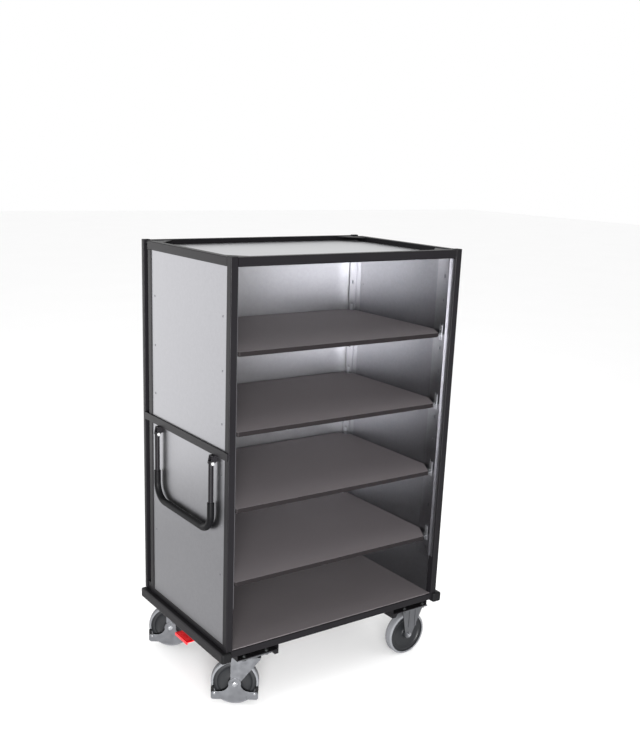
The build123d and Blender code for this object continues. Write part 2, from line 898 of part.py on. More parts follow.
def fixed_fork():
    """Plate and pressed fork of a fixed castor, with ribs down the outside of its legs."""
    centre = fixed_plate_offset
    half_x = plate_length / 2
    half_y = plate_width / 2
    half_foot = fixed_foot / 2
    shape = block((centre - half_x, centre + half_x), (-half_y, half_y), (plate_bottom, castor_height))
    outline = [
        (-fixed_top_front, plate_bottom),
        (fixed_top_back, plate_bottom),
        (half_foot, wheel_radius),
        (-half_foot, wheel_radius),
    ]
    leg = make_face(Polyline(*outline, close=True)) + Pos(0, wheel_radius) * Circle(half_foot)
    shape += both_sides(side_sheet(leg, fork_gap / 2, fork_sheet))
    crown_x = (-fixed_top_front, fixed_top_back)
    shape += block(crown_x, (-fork_half, fork_half), (plate_bottom - crown_sheet, plate_bottom))
    for step in (-0.5, 0.5):
        x = step * fixed_rib_spacing + fixed_plate_offset + fixed_rib_width
        rib = block((x - fixed_rib_width / 2, x + fixed_rib_width / 2),
                    (fork_half, fork_half + fixed_rib), (wheel_radius + fixed_foot, plate_bottom))
        shape += both_sides(rib)
    for x, y in bolt_places(centre, 0):
        shape -= rod_z((x, y, plate_bottom), bolt_radius + bolt_play, plate_sheet)
    shape -= axle_hole(0, fork_half, axle_radius + axle_play)
    return shape


def castors():
    front, rear = castor_lines()
    fork = swivel_fork()
    guard = foot_guard()
    pads = guard_pads()
    pin = axle(-trail, guard_half)
    for end, y in (("front", front), ("rear", rear)):
        save(f"swivel_fork_{end}", turned(fork, y))
        save(f"foot_guard_{end}", gather([turned(guard, y)]))
        save(f"guard_pads_{end}", gather([turned(pads, y)]))
        save(f"swivel_axle_{end}", turned(pin, y))
        save(f"wheel_centre_left_{end}", turned(wheel_centre(-trail), y))
        save(f"tyre_left_{end}", turned(tyre(-trail), y))
        save(f"wheel_centre_right_{end}", fixed_at(wheel_centre(0), y))
        save(f"tyre_right_{end}", fixed_at(tyre(0), y))
    plates = [Pos(x, y, 0) * top_plate() for x, y in plate_centres(True)]
    save("swivel_top_plates", gather(plates))
    save("fixed_forks", gather([fixed_at(fixed_fork(), y) for y in castor_lines()]))
    save("fixed_axles", gather([fixed_at(axle(0, fork_half), y) for y in castor_lines()]))


def castor_bolts():
    """Bolts with a head under each castor plate and a nut inside the channel."""
    bolts = []
    nut_start = channel_bottom + channel_wall
    for x, y in plate_centres(True) + plate_centres(False):
        for place in bolt_places(x, y):
            bolt = rod_z((*place, plate_bottom), bolt_radius, nut_start - plate_bottom)
            bolt += rod_z((*place, plate_bottom - bolt_head), bolt_head_radius, bolt_head)
            bolt += rod_z((*place, nut_start), bolt_head_radius, bolt_head)
            bolts.append(bolt)
    save("castor_bolts", gather(bolts))


# Central brake


def brake():
    """Foot pedal on a cross shaft between the swivel castors, and its hangers."""
    front, rear = castor_lines()
    middle = y_at(half_depth)
    shaft_x = x_at(shaft_inset)
    start = front + plate_width / 2 + shaft_end_gap
    end = rear - plate_width / 2 - shaft_end_gap
    save("brake_shaft", rod_y((shaft_x, start, shaft_height), shaft_radius, end - start))
    half = pedal_length / 2
    outer = shaft_x - pedal_reach
    inner = outer + pedal_width
    top = shaft_height - pedal_drop
    pedal = block((outer, inner), (middle - half, middle + half), (top - pedal_sheet, top))
    pedal += block((outer, outer + pedal_sheet), (middle - half, middle + half), (top - pedal_lip, top))
    eye = Pos(shaft_x, shaft_height) * Circle(pedal_eye)
    foot = Line((outer + pedal_width / 2, top - pedal_sheet), (inner, top - pedal_sheet))
    cheek = make_hull(eye.edges() + foot.edges())
    for y in (middle - half + pedal_sheet, middle + half):
        plane = Plane((0, y, 0), x_dir=(1, 0, 0), z_dir=(0, -1, 0))
        pedal += extrude(plane * cheek, pedal_sheet)
    pedal -= rod_y((shaft_x, middle - half, shaft_height), shaft_radius + shaft_play, pedal_length)
    save("brake_pedal", pedal)
    hangers = []
    near = half + hanger_gap
    for y in (start, middle - near - hanger_sheet, middle + near, end - hanger_sheet):
        hanger = block((shaft_x - hanger_width / 2, shaft_x + hanger_width / 2), (y, y + hanger_sheet),
                       (shaft_height - hanger_foot, channel_bottom))
        hanger -= rod_y((shaft_x, y, shaft_height), shaft_radius + shaft_play, hanger_sheet)
        hangers.append(hanger)
    save("brake_hangers", gather(hangers))


corner_posts()
back_posts()
top_rails()
side_bars()
tube_caps()
corner_gussets()
frame_links()
base_frame()
bumper_caps()
castor_channels()
end_panels()
flat_panels()
standards()
all_rivets()
clips()
shelves()
handle_brackets()
handle()
castors()
castor_bolts()
brake()
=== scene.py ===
# Shelf trolley: the finished look of every piece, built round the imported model.
# The scene is in metres, in the model's own frame: +Z up, open front towards -Y, push handle
# on the -X end. Sizes in the looks of pieces and patterns are in millimetres.
import json
import math

import bpy
from mathutils import Matrix, Vector

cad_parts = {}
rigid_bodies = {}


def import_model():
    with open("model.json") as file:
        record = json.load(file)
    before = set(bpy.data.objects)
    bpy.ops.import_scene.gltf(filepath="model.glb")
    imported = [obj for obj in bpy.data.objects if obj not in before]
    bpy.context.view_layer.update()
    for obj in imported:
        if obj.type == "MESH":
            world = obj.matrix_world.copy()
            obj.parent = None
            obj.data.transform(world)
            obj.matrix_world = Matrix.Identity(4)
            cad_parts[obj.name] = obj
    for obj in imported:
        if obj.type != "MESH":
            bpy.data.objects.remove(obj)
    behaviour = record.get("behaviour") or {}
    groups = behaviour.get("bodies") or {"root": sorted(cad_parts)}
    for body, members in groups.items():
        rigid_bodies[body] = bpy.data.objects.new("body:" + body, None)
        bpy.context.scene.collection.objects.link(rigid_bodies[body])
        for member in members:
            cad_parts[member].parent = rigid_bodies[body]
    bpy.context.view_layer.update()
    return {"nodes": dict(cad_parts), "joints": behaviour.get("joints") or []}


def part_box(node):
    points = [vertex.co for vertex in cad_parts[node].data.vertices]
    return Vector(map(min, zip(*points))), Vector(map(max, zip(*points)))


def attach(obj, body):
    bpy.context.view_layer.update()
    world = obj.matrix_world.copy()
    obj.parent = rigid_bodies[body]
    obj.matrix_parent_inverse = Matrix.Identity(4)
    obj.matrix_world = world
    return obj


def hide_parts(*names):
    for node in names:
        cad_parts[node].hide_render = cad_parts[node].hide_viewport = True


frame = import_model()
nodes = frame["nodes"]
joints = {joint["name"]: joint for joint in frame["joints"]}
mm = 0.001
weldGap = 0.01 * mm
shadeAngle = 40
frameSize = {"length": 1090, "depth": 714, "height": 1810}
print("frame loaded:", len(nodes), "nodes")


# Small helpers for picking, rounding, copying, placing and joining pieces


def pick(piece):
    if bpy.context.view_layer.objects.active and bpy.context.mode != "OBJECT":
        bpy.ops.object.mode_set(mode="OBJECT")
    for item in bpy.context.selected_objects:
        item.select_set(False)
    piece.select_set(True)
    bpy.context.view_layer.objects.active = piece


def startFresh():
    # lets go of the last piece and leaves edit mode, before a new piece is made
    pick(nodes["deck"])


def chooseFaces(piece, wanted):
    # selects faces by their middle and normal, and leaves the piece in edit mode
    pick(piece)
    mesh = piece.data
    for part in (*mesh.vertices, *mesh.edges):
        part.select = False
    for face in mesh.polygons:
        face.select = wanted(face.center, face.normal)
    bpy.ops.object.mode_set(mode="EDIT")
    bpy.ops.mesh.select_mode(type="FACE")


def chooseEdges(piece, wanted):
    # selects edges by their two ends, and leaves the piece in edit mode
    pick(piece)
    mesh = piece.data
    for part in (*mesh.vertices, *mesh.polygons):
        part.select = False
    for edge in mesh.edges:
        ends = [mesh.vertices[index].co for index in edge.vertices]
        edge.select = wanted(*ends)
    bpy.ops.object.mode_set(mode="EDIT")
    bpy.ops.mesh.select_mode(type="EDGE")


def leaveEdit():
    bpy.ops.object.mode_set(mode="OBJECT")


def everyFace(middle, normal):
    return True


def topFace(middle, normal):
    return normal.z > 0.9


def applyAll(piece):
    pick(piece)
    for modifier in list(piece.modifiers):
        bpy.ops.object.modifier_apply(modifier=modifier.name)


def soften(piece, width, segments=2, angle=30):
    # rounds every sharp edge, as a press or a file leaves it
    bevel = piece.modifiers.new("edges", "BEVEL")
    bevel.width = width * mm
    bevel.segments = segments
    bevel.limit_method = "ANGLE"
    bevel.angle_limit = math.radians(angle)
    applyAll(piece)
    bpy.ops.object.shade_smooth_by_angle(angle=math.radians(shadeAngle))
    piece.modifiers.new("normals", "WEIGHTED_NORMAL").keep_sharp = True
    applyAll(piece)
    return piece


def smooth(piece, angle):
    pick(piece)
    bpy.ops.object.shade_smooth_by_angle(angle=math.radians(angle))
    return piece


def copyNode(name, node):
    # a copy of the model's mesh with its doubles merged and its flat faces made whole
    piece = bpy.data.objects.new(name, nodes[node].data.copy())
    bpy.context.scene.collection.objects.link(piece)
    piece.data.materials.clear()
    if piece.data.has_custom_normals:
        pick(piece)
        bpy.ops.mesh.customdata_custom_splitnormals_clear()
    pick(piece)
    bpy.ops.object.mode_set(mode="EDIT")
    bpy.ops.mesh.select_all(action="SELECT")
    bpy.ops.mesh.remove_doubles(threshold=weldGap)
    bpy.ops.mesh.dissolve_limited(angle_limit=math.radians(0.5))
    leaveEdit()
    return piece


def twin(piece, name, placing):
    # the same piece again, with a mesh of its own, somewhere else
    other = bpy.data.objects.new(name, piece.data.copy())
    bpy.context.scene.collection.objects.link(other)
    other.data.transform(placing)
    if placing.determinant() < 0:
        other.data.flip_normals()
    return other


def joined(name, pieces):
    pick(pieces[0])
    for piece in pieces[1:]:
        piece.select_set(True)
    if len(pieces) > 1:
        bpy.ops.object.join()
    pieces[0].name = name
    return pieces[0]


def quarterTurn(count, axis="X"):
    return Matrix.Rotation(count * math.pi / 2, 4, axis)


def placedAt(x, y, z, turn):
    return Matrix.Translation(Vector((x, y, z)) * mm) @ turn


def spread(name, piece, placings):
    # one modelled piece at many places, joined, and the first one removed
    copies = [twin(piece, name, placing) for placing in placings]
    bpy.data.objects.remove(piece)
    return joined(name, copies)


def outline(name, points):
    # a single vertex drawn out into an open line of edges, left in edit mode
    startFresh()
    bpy.ops.mesh.primitive_plane_add(size=0.01)
    piece = bpy.context.object
    piece.name = name
    bpy.ops.object.mode_set(mode="EDIT")
    bpy.ops.mesh.select_mode(type="VERT")
    bpy.ops.mesh.select_all(action="SELECT")
    bpy.ops.mesh.merge(type="CENTER")
    bpy.ops.mesh.select_all(action="SELECT")
    bpy.ops.transform.translate(value=points[0])
    for here, there in zip(points, points[1:]):
        step = there - here
        bpy.ops.mesh.extrude_vertices_move(TRANSFORM_OT_translate={"value": step})
    return piece


def turnedPiece(name, widths, steps):
    # a piece turned about the Y axis, from (half width, radius) pairs
    closed = widths + [(-y, r) for y, r in reversed(widths)] + widths[:1]
    piece = outline(name, [Vector((0, y * mm, r * mm)) for y, r in closed])
    bpy.ops.mesh.select_all(action="SELECT")
    bpy.ops.mesh.spin(steps=steps, angle=math.tau, center=(0, 0, 0), axis=(0, 1, 0))
    bpy.ops.mesh.select_all(action="SELECT")
    bpy.ops.mesh.remove_doubles(threshold=weldGap)
    bpy.ops.mesh.normals_make_consistent(inside=False)
    leaveEdit()
    return piece


def addCylinder(sides, radius, high, middle):
    # an upright cylinder on the Z axis, with its middle at this height
    bpy.ops.mesh.primitive_cylinder_add(
        vertices=sides, radius=radius * mm, depth=high * mm, location=(0, 0, middle * mm)
    )
    bpy.ops.object.transform_apply(location=True, rotation=True, scale=True)
    return bpy.context.object


def crownTop(piece, rings, shrink=None):
    # insets the top face and moves it up or down, once for each (inset, rise) pair
    chooseFaces(piece, topFace)
    for inset, rise in rings:
        bpy.ops.mesh.inset(thickness=inset * mm)
        bpy.ops.transform.translate(value=(0, 0, rise * mm))
    if shrink:
        bpy.ops.transform.resize(value=(shrink, shrink, 1), center_override=(0, 0, 0))
    leaveEdit()


# The head's inset and crown and the washer's radius are shares of the flats
hexLook = {
    "headInset": 0.09, "headCrown": 0.045, "headShrink": 0.94, "washerRadius": 0.62,
    "washerSides": 28, "washerInset": 0.3, "washerCrown": 0.25, "endSides": 20, "endHigh": 3,
    "endMiddle": 1.2, "endInset": 0.8, "endCrown": 0.7, "edge": 0.25,
}


def hexBolt(name, flats, high, washer, shank=None):
    # a hexagon head with a turned crown on a washer, pointing along +Z from its seat at the
    # origin, and above it the end of a shank where its diameter is given
    look = hexLook
    startFresh()
    corner = flats / 2 / math.cos(math.pi / 6)
    head = addCylinder(6, corner, high, washer + high / 2)
    rings = [(look["headInset"] * flats, look["headCrown"] * flats)]
    crownTop(head, rings, look["headShrink"])
    plate = addCylinder(look["washerSides"], flats * look["washerRadius"], washer, washer / 2)
    crownTop(plate, [(look["washerInset"], look["washerCrown"])])
    parts = [head, plate]
    if shank:
        middle = washer + high + look["endMiddle"]
        end = addCylinder(look["endSides"], shank / 2, look["endHigh"], middle)
        crownTop(end, [(look["endInset"], look["endCrown"])])
        parts.append(end)
    return soften(joined(name, parts), look["edge"], 1, 35)


# Insets are shares of the radius, heights are shares of the dome's height
domeLook = {
    "sides": 24, "rim": 0.3, "rings": [(0.14, 0.34), (0.2, 0.24), (0.24, 0.1)],
    "dimple": [(0.08, -0.25)],
}


def domeHead(name, radius, high, dimpled):
    # a low dome on a thin rim, with the sunk end of a blind rivet's pin where it is dimpled
    look = domeLook
    startFresh()
    head = addCylinder(look["sides"], radius, high * look["rim"], high * look["rim"] / 2)
    head.name = name
    rings = look["rings"] + (look["dimple"] if dimpled else [])
    crownTop(head, [(inset * radius, rise * high) for inset, rise in rings])
    return smooth(head, 60)


# Materials. Colours are sRGB hex, patterns are sized in millimetres on Object coordinates.


def fromHex(text):
    shares = [int(text[at : at + 2], 16) / 255 for at in (1, 3, 5)]
    linear = [s / 12.92 if s <= 0.04045 else ((s + 0.055) / 1.055) ** 2.4 for s in shares]
    return (*linear, 1.0)


def addNode(material, kind, settings=None, links=None):
    node = material.node_tree.nodes.new(kind)
    for name, value in (settings or {}).items():
        if isinstance(name, int) or name in node.inputs:
            node.inputs[name].default_value = value
        else:
            setattr(node, name, value)
    for name, source in (links or {}).items():
        material.node_tree.links.new(source, node.inputs[name])
    return node


def startMaterial(name, settings):
    material = bpy.data.materials.new(name)
    material.use_nodes = True
    material.node_tree.nodes.clear()
    shader = addNode(material, "ShaderNodeBsdfPrincipled", settings)
    addNode(material, "ShaderNodeOutputMaterial", links={"Surface": shader.outputs["BSDF"]})
    place = addNode(material, "ShaderNodeTexCoord").outputs["Object"]
    return material, shader, place


def perMillimetre(size):
    # the Scale that makes one feature of a pattern this many millimetres wide
    return 1 / (size * mm)


def noise(material, place, size, detail, **more):
    settings = {"Scale": perMillimetre(size), "Detail": detail, **more}
    return addNode(material, "ShaderNodeTexNoise", settings, {"Vector": place}).outputs


def blended(material, share, first, second):
    # two patterns in one, with this share of the second
    settings = {"data_type": "FLOAT", 0: share}
    return addNode(material, "ShaderNodeMix", settings, {2: first, 3: second}).outputs[0]


def colour(material, shader, pattern, dark, light):
    settings = {"data_type": "RGBA", 6: fromHex(dark), 7: fromHex(light)}
    mix = addNode(material, "ShaderNodeMix", settings, {0: pattern})
    material.node_tree.links.new(mix.outputs[2], shader.inputs["Base Color"])


def roughen(material, shader, pattern, rough, span=(0.3, 0.7)):
    # roughness between two values, while the pattern goes through its span
    settings = {
        "From Min": span[0], "From Max": span[1], "To Min": rough[0], "To Max": rough[1],
    }
    node = addNode(material, "ShaderNodeMapRange", settings, {"Value": pattern})
    material.node_tree.links.new(node.outputs["Result"], shader.inputs["Roughness"])


def bump(material, shader, pattern, strength, depth):
    settings = {"Strength": strength, "Distance": depth * mm}
    node = addNode(material, "ShaderNodeBump", settings, {"Height": pattern})
    material.node_tree.links.new(node.outputs["Normal"], shader.inputs["Normal"])


powderCoatLook = {
    "dark": "#0d0c0e", "light": "#131214", "gloss": 0.08, "cloud": 260, "peel": 2.2,
    "rough": (0.34, 0.44), "strength": 0.35, "depth": 0.04,
}


def makePowderCoat():
    # Polyester powder coat on steel tube: satin, with the faint orange peel of baked powder
    look = powderCoatLook
    settings = {"IOR": 1.5, "Specular IOR Level": look["gloss"]}
    material, shader, place = startMaterial("powderCoat", settings)
    cloud = noise(material, place, look["cloud"], 3.0)["Fac"]
    peel = noise(material, place, look["peel"], 2.0)["Fac"]
    colour(material, shader, cloud, look["dark"], look["light"])
    roughen(material, shader, peel, look["rough"])
    bump(material, shader, peel, look["strength"], look["depth"])
    return material


galvanisedLook = {
    "spangle": 11, "warp": 30, "wander": 0.012, "grain": 1.6, "stretch": (1.0, 1.0, 0.03),
    "streakShare": 0.55, "strength": 0.12, "depth": 0.03,
}


def makeGalvanised(name, dark, light, sheen):
    # Hot-dip galvanised sheet, skin-passed: metallic grey, with frost-like spangle cells
    # that differ a little in shade and gloss, and the fine streaks of rolling. The sheets
    # inside have a duller sheen than the outer ones. Copies of this one sheet get different
    # base colours as painted light and shade: the linings darker as painted shade, the back
    # sheet lighter and the top sheet palest as painted light.
    look = galvanisedLook
    material, shader, place = startMaterial(name, {"Metallic": 1.0})
    warp = noise(material, place, look["warp"], 2.0)["Color"]
    wander = {"operation": "MULTIPLY_ADD", 1: (look["wander"],) * 3}
    moved = addNode(material, "ShaderNodeVectorMath", wander, {0: warp, 2: place})
    cells = addNode(material, "ShaderNodeTexVoronoi", {"Scale": perMillimetre(look["spangle"])},
                    {"Vector": moved.outputs["Vector"]})
    shade = addNode(material, "ShaderNodeSeparateColor", links={"Color": cells.outputs["Color"]})
    stretched = addNode(material, "ShaderNodeMapping", {"Scale": look["stretch"]},
                        {"Vector": place})
    streaks = noise(material, stretched.outputs["Vector"], look["grain"], 3.0)["Fac"]
    blend = blended(material, look["streakShare"], shade.outputs["Red"], streaks)
    colour(material, shader, blend, dark, light)
    roughen(material, shader, blend, sheen, (0.2, 0.8))
    bump(material, shader, streaks, look["strength"], look["depth"])
    return material


shelfCoatLook = {
    "gloss": 0.35, "grain": 2.4, "cloud": 220, "cloudShare": 0.4, "rough": (0.52, 0.68),
    "strength": 0.5, "depth": 0.08,
}


def makeShelfCoat(name, dark, light):
    # Matt brown-grey surface with small grains that scatter the light: phenol film on the
    # boards, fine-textured powder coat on the deck
    look = shelfCoatLook
    settings = {"IOR": 1.5, "Specular IOR Level": look["gloss"]}
    material, shader, place = startMaterial(name, settings)
    grain = noise(material, place, look["grain"], 4.0, Roughness=0.65)["Fac"]
    cloud = noise(material, place, look["cloud"], 2.0)["Fac"]
    both = blended(material, look["cloudShare"], grain, cloud)
    colour(material, shader, both, dark, light)
    roughen(material, shader, grain, look["rough"])
    bump(material, shader, grain, look["strength"], look["depth"])
    return material


zincLook = {"metal": 0.9, "cloud": 24, "fine": 1.4, "strength": 0.15, "depth": 0.03}


def makeZinc(name, dark, light, rough):
    # Bright zinc plate on pressed steel: a cool satin grey with soft clouding from the bath
    look = zincLook
    material, shader, place = startMaterial(name, {"Metallic": look["metal"]})
    cloud = noise(material, place, look["cloud"], 4.0)["Fac"]
    fine = noise(material, place, look["fine"], 2.0)["Fac"]
    colour(material, shader, cloud, dark, light)
    roughen(material, shader, cloud, rough)
    bump(material, shader, fine, look["strength"], look["depth"])
    return material


plasticLook = {"cloud": 35, "strength": 0.3}


def makePlastic(name, dark, light, grain, rough, depth, gloss):
    # Moulded plastic, rubber or enamel: even colour, fine spark-eroded grain, slight mottling
    look = plasticLook
    material, shader, place = startMaterial(name, {"IOR": 1.5, "Specular IOR Level": gloss})
    cloud = noise(material, place, look["cloud"], 3.0)["Fac"]
    fine = noise(material, place, grain, 2.0)["Fac"]
    colour(material, shader, cloud, dark, light)
    roughen(material, shader, fine, rough)
    bump(material, shader, fine, look["strength"], depth)
    return material


edgeLacquerAndShadeLook = {
    "dark": "#110f10", "light": "#171415", "gloss": 0.08, "layer": 3, "rough": (0.45, 0.6),
}


def makeEdgeLacquerAndShade():
    # Dark lacquer on the sawn edge of a board, darkened further as painted shade on the upright
    # edges: nearly black, and the ply's layers just show
    look = edgeLacquerAndShadeLook
    settings = {"IOR": 1.5, "Specular IOR Level": look["gloss"]}
    material, shader, place = startMaterial("boardEdgeLacquerAndShade", settings)
    layers = noise(material, place, look["layer"], 2.0)["Fac"]
    colour(material, shader, layers, look["dark"], look["light"])
    roughen(material, shader, layers, look["rough"])
    return material


finishes = {
    "powderCoat": makePowderCoat(),
    "galvanised": makeGalvanised("galvanisedSheet", "#6e6e71", "#77777a", sheen=(0.29, 0.34)),
    # The linings: the same galvanised sheet, made darker as painted shade.
    "liningGalvanisedPaintedShade": makeGalvanised(
        "paintedShadeLiningSheet", "#646467", "#6d6d70", sheen=(0.38, 0.44)
    ),
    # The back sheet: the same galvanised sheet, made lighter as painted light.
    "innerGalvanisedPaintedLight": makeGalvanised(
        "paintedLightBackSheet", "#a0a0a3", "#aaaaad", sheen=(0.38, 0.44)
    ),
    # The top sheet: the same galvanised sheet, made palest as painted light from above.
    "paleGalvanisedPaintedLight": makeGalvanised(
        "paintedLightTopSheet", "#b4b5b7", "#c0c1c3", sheen=(0.3, 0.36)
    ),
    "shelfCoat": makeShelfCoat("shelfCoat", "#565253", "#5f5a5c"),
    "filmFace": makeShelfCoat("filmFace", "#605b5d", "#696466"),
    "boardEdgeLacquerAndShade": makeEdgeLacquerAndShade(),
    "pressedZinc": makeZinc("pressedZinc", "#525356", "#606164", rough=(0.34, 0.48)),
    "brightZinc": makeZinc("brightZinc", "#838487", "#929396", rough=(0.26, 0.38)),
    # Near-black zinc for the castor bolts: painted shade for their place under the channels.
    "zincPaintedShade": makeZinc("zincPaintedShade", "#202122", "#2b2c2d", rough=(0.4, 0.5)),
    "wheelNylon": makePlastic(
        "wheelNylon", "#111214", "#18191b", grain=1.6, rough=(0.34, 0.5), depth=0.04, gloss=0.2
    ),
    "greyRubber": makePlastic(
        "greyRubber", "#57585b", "#646568", grain=1.8, rough=(0.6, 0.8), depth=0.06, gloss=0.2
    ),
    "blackVinyl": makePlastic(
        "blackVinyl", "#070708", "#0b0b0c", grain=1.5, rough=(0.36, 0.5), depth=0.04, gloss=0.05
    ),
    "blackCap": makePlastic(
        "blackCap", "#0e0e0f", "#141415", grain=1.8, rough=(0.42, 0.6), depth=0.05, gloss=0.06
    ),
    "whiteCap": makePlastic(
        "whiteCap", "#7c7c7c", "#888888", grain=1.8, rough=(0.34, 0.46), depth=0.03, gloss=0.2
    ),
    "redEnamel": makePlastic(
        "redEnamel", "#b8040f", "#cc0a17", grain=2.2, rough=(0.22, 0.36), depth=0.03, gloss=0.4
    ),
}


def finishPiece(piece, body, finish, *replaced):
    piece.data.materials.clear()
    piece.data.materials.append(finishes[finish])
    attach(piece, body)
    if replaced:
        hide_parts(*replaced)
    return piece


def finishSome(piece, finish, wanted):
    # a second finish on the faces that are wanted by their middle and normal
    piece.data.materials.append(finishes[finish])
    for face in piece.data.polygons:
        face.material_index = 1 if wanted(face.center, face.normal) else 0


print("materials made:", len(finishes))


# Model nodes whose shape is right keep it and get their finish

keptNodes = {
    "powderCoat": (
        "post_front_left", "post_front_right", "post_rear_left", "post_rear_right", "back_posts",
        "top_rail_left", "top_rail_right", "top_rail_front", "top_rail_rear", "side_crossbar",
        "side_sills", "end_bars", "base_rails", "brake_shaft",
    ),
    "galvanised": ("panels_left", "panel_right"),
    # The linings take painted shade, and the back and top sheets painted light, in their copies
    # of the galvanised sheet.
    "liningGalvanisedPaintedShade": ("wall_linings",),
    "innerGalvanisedPaintedLight": ("panel_rear",),
    "paleGalvanisedPaintedLight": ("top_panel",),
    "blackCap": ("bumper_caps",),
}
for finish, names in keptNodes.items():
    for name in names:
        mesh = nodes[name].data
        mesh.materials.clear()
        mesh.materials.append(finishes[finish])
print("model nodes dressed")


# Sheet metal and small steel pieces: the model's shape with its bends and edges rounded

roundedPieces = {
    "loadDeck": ("deck", "frame", "shelfCoat", 0.9),
    "standardsLeft": ("standards_left", "frame", "galvanised", 0.5),
    "standardsRight": ("standards_right", "frame", "galvanised", 0.5),
    "shelfClips": ("shelf_clips", "frame", "brightZinc", 0.5),
    "cornerGussets": ("corner_gussets", "frame", "powderCoat", 0.9),
    "castorChannels": ("castor_channels", "frame", "powderCoat", 1.1),
    "handleBrackets": ("handle_brackets", "frame", "powderCoat", 0.9),
    "brakeHangers": ("brake_hangers", "frame", "powderCoat", 0.7),
    "tubeCaps": ("tube_caps", "frame", "blackCap", 0.7),
    "footLinks": ("foot_links", "frame", "powderCoat", 1.0),
    "castorPlates": ("swivel_top_plates", "frame", "pressedZinc", 1.0),
    "fixedForks": ("fixed_forks", "frame", "pressedZinc", 1.2),
    "shelfBoard1": ("shelf_1", "shelf_1", "filmFace", 1.0),
    "shelfBoard2": ("shelf_2", "shelf_2", "filmFace", 1.0),
    "shelfBoard3": ("shelf_3", "shelf_3", "filmFace", 1.0),
    "shelfBoard4": ("shelf_4", "shelf_4", "filmFace", 1.0),
}
for name, (node, body, finish, width) in roundedPieces.items():
    finishPiece(soften(copyNode(name, node), width), body, finish, node)
print("sheet metal rounded:", len(roundedPieces))


# The sawn edges of a shelf board are dark, as lacquer and as painted shade; its two film faces
# are not

for number in range(1, 5):
    board = bpy.data.objects[f"shelfBoard{number}"]
    finishSome(board, "boardEdgeLacquerAndShade", lambda middle, normal: abs(normal.z) <= 0.7)


# Rivets through both sheets of each end wall, with a head on each side

rivetLook = {
    "radius": 4.0, "high": 1.6, "behind": (57, 601), "first": 1597, "pitch": 200, "count": 6,
    "outside": 3.0, "inside": 31.5,
}


def fitRivets():
    look = rivetLook
    head = domeHead("rivetHead", look["radius"], look["high"], True)
    placings = []
    for side in (-1, 1):
        for count in range(look["count"]):
            z = look["first"] - count * look["pitch"]
            for behind in look["behind"]:
                y = behind - frameSize["depth"] / 2
                for inset, facing in ((look["outside"], side), (look["inside"], -side)):
                    x = side * (frameSize["length"] / 2 - inset)
                    placings.append(placedAt(x, y, z, quarterTurn(facing, "Y")))
    rivets = spread("standardRivets", head, placings)
    finishPiece(rivets, "frame", "pressedZinc", "standard_rivets")


fitRivets()


# Studs and nuts between the end frames and the back frame

linkLook = {
    "flats": 13, "high": 6, "washer": 1.2, "edge": 0.3, "inset": 15, "drops": (9, 26),
    "front": 660, "back": 694,
}


def fitLinks():
    look = linkLook
    studs = soften(copyNode("linkStuds", "frame_links"), look["edge"], 1)
    nut = hexBolt("linkNut", look["flats"], look["high"], look["washer"])
    placings = []
    for side in (-1, 1):
        x = side * (frameSize["length"] / 2 - look["inset"])
        for drop in look["drops"]:
            z = frameSize["height"] - drop
            for behind, facing in ((look["front"], 1), (look["back"], -1)):
                y = behind - frameSize["depth"] / 2
                placings.append(placedAt(x, y, z, quarterTurn(-facing)))
    nuts = spread("linkNuts", nut, placings)
    finishPiece(joined("frameLinks", [studs, nuts]), "frame", "powderCoat", "frame_links")


fitLinks()
print("rivets and links fitted")


# Push handle: bent tube, vinyl grip drawn over it, and the capped pins of its brackets

handleLook = {
    "x": -561, "front": -255, "rear": 195, "pivot": 1038, "stub": 9, "bottom": 760, "bend": 70,
    "bendSteps": 14, "sides": 32, "tube": 10.0, "tubeEdge": 1.4, "grip": 14.0, "gripEdge": 1.8,
    "gripTop": 880, "bracketHalf": 13.0, "capRadius": 7.0, "capHigh": 5.0, "capLift": 0.4,
    "capReach": 9, "pinEdge": 0.8,
}


def bentTube(name, radius, top, edge):
    # a ring pushed down the rear leg, spun through the bends and drawn up the front leg
    look = handleLook
    x = look["x"]
    bend = look["bend"]
    startFresh()
    bpy.ops.mesh.primitive_circle_add(
        vertices=look["sides"], radius=radius * mm, location=Vector((x, look["rear"], top)) * mm
    )
    tube = bpy.context.object
    tube.name = name
    bpy.ops.object.transform_apply(location=True, rotation=True, scale=True)
    bpy.ops.object.mode_set(mode="EDIT")
    bpy.ops.mesh.select_mode(type="EDGE")
    bpy.ops.mesh.select_all(action="SELECT")
    fall = (top - look["bottom"] - bend) * mm
    level = (look["bottom"] + bend) * mm
    across = (look["rear"] - look["front"] - 2 * bend) * mm
    turn = {"steps": look["bendSteps"], "angle": math.pi / 2, "axis": (1, 0, 0)}
    bpy.ops.mesh.extrude_region_move(TRANSFORM_OT_translate={"value": (0, 0, -fall)})
    bpy.ops.mesh.spin(center=(x * mm, (look["rear"] - bend) * mm, level), **turn)
    bpy.ops.mesh.extrude_region_move(TRANSFORM_OT_translate={"value": (0, -across, 0)})
    bpy.ops.mesh.spin(center=(x * mm, (look["front"] + bend) * mm, level), **turn)
    bpy.ops.mesh.extrude_region_move(TRANSFORM_OT_translate={"value": (0, 0, fall)})
    leaveEdit()
    rim = (top - 0.1) * mm
    reach = 20 * mm
    for leg in (look["rear"] * mm, look["front"] * mm):
        chooseEdges(tube, lambda a, b, y=leg: min(a.z, b.z) > rim and abs(a.y - y) < reach)
        bpy.ops.mesh.edge_face_add()
        leaveEdit()
    chooseFaces(tube, everyFace)
    bpy.ops.mesh.remove_doubles(threshold=weldGap)
    bpy.ops.mesh.normals_make_consistent(inside=False)
    leaveEdit()
    return soften(tube, edge, 3, 60)


def buildHandle():
    look = handleLook
    tube = bentTube("handleTube", look["tube"], look["pivot"] + look["stub"], look["tubeEdge"])
    finishPiece(tube, "handle", "powderCoat", "handle_bail")
    grip = bentTube("handleGrip", look["grip"], look["gripTop"], look["gripEdge"])
    finishPiece(grip, "handle", "blackVinyl", "handle_grip")


